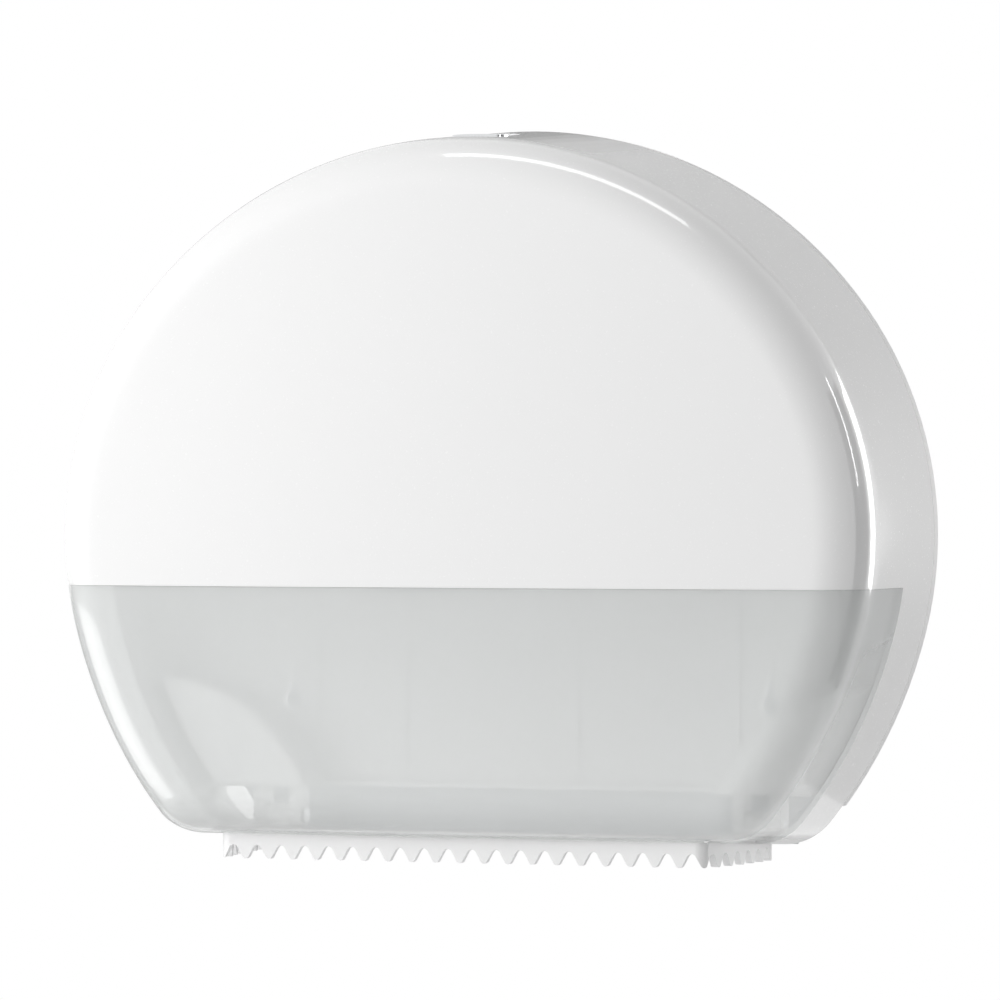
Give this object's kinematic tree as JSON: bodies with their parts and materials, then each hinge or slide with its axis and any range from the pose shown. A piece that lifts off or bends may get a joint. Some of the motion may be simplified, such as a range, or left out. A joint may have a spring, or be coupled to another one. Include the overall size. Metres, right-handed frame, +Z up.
{
  "type": "jumbo toilet roll dispenser",
  "caption": "Round wall-mounted dispenser for a jumbo toilet roll, with a hinged locking cover, a smoky window, a toothed tear bar, a braked roll hub and a stub roll spindle.",
  "frame": {"origin": "on the wall plane, behind the middle of the cover's nearly round outline", "axes": "+X to the right seen from the front, +Y into the wall, so the front looks along -Y, +Z up"},
  "size_m": [0.437, 0.133, 0.3711],
  "materials": {
    "shell_white": "moulded white ABS with a glossy, very slightly speckled surface",
    "window_smoke": "translucent smoke grey plastic, glossy outside and satin inside",
    "plate_white": "satin white moulded plastic",
    "hub_grey": "satin light grey moulded plastic",
    "bar_white": "satin white moulded plastic",
    "steel": "zinc plated steel",
    "lock_metal": "polished zinc casting"
  },
  "bodies": {
    "base": {"back_plate": "plate_white", "hinge_pin_left": "steel", "hinge_pin_right": "steel", "spindle_post": "plate_white", "spindle_screws": "steel", "brake_spring": "steel", "brake_ring": "hub_grey", "hub_washer": "steel", "hub_screw": "steel", "stub_post": "plate_white", "stub_screws": "steel", "stub_clip": "steel", "catch_bracket": "steel", "catch_screws": "steel"},
    "cover": {"cover_shell": "shell_white", "window_panel": "window_smoke", "tear_bar": "bar_white", "lock_housing": "lock_metal", "lock_nut": "steel"},
    "key": {"key_barrel": "lock_metal", "lock_cam": "steel", "cam_screw": "steel"},
    "hub": {"roll_hub": "hub_grey", "hub_cap": "hub_grey"},
    "stub": {"stub_sleeve": "hub_grey"}
  },
  "joints": [
    {"name": "cover_swing", "type": "hinge", "parent": "base", "child": "cover", "pos_m": [0, -0.02, -0.136], "axis": [1, 0, 0], "range_deg": [0, 88]},
    {"name": "key_turn", "type": "hinge", "parent": "cover", "child": "key", "pos_m": [0, -0.066, 0.2], "axis": [0, 0, 1], "range_deg": [0, 90]},
    {"name": "hub_spin", "type": "hinge", "parent": "base", "child": "hub", "pos_m": [-0.062, -0.06, 0.034], "axis": [0, 1, 0], "continuous": true},
    {"name": "stub_spin", "type": "hinge", "parent": "base", "child": "stub", "pos_m": [0.135, -0.048, 0.018], "axis": [0, 1, 0], "continuous": true}
  ]
}
